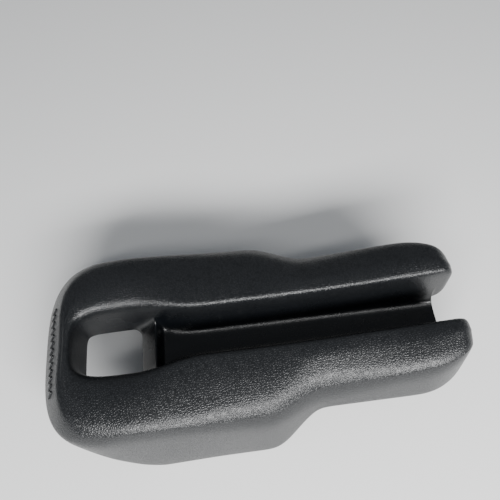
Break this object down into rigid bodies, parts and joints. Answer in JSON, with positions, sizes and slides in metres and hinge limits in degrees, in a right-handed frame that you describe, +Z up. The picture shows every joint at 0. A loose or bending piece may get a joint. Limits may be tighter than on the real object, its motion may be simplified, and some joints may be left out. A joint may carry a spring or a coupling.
{
  "type": "electric unicycle seat",
  "caption": "Moulded foam seat for an electric unicycle: two raised prongs, a channel between them, a square handle hole and hook-and-loop pads.",
  "frame": {"origin": "middle of the outline, at the level of the skirts' lower faces that the seat stands on", "axes": "+X towards the prong tips (forward on the wheel), +Y to the rider's left, +Z up"},
  "size_m": [0.4, 0.2042, 0.109],
  "materials": {
    "skin": "black self-skinned polyurethane with a fine moulded leather grain, semi-matt",
    "foam": "black open polyurethane foam",
    "stiffener": "natural polypropylene sheet",
    "hook_tape": "black woven nylon hook tape",
    "adhesive": "clear pressure-sensitive acrylic film"
  },
  "bodies": {
    "root": {"seat_skin": "skin", "foam_core": "foam", "stiffener_left": "stiffener", "stiffener_right": "stiffener", "hook_pad_rear_left": "hook_tape", "hook_pad_mid_left": "hook_tape", "hook_pad_front_left": "hook_tape", "hook_pad_rear_right": "hook_tape", "hook_pad_mid_right": "hook_tape", "hook_pad_front_right": "hook_tape", "pad_adhesive": "adhesive"}
  },
  "joints": []
}
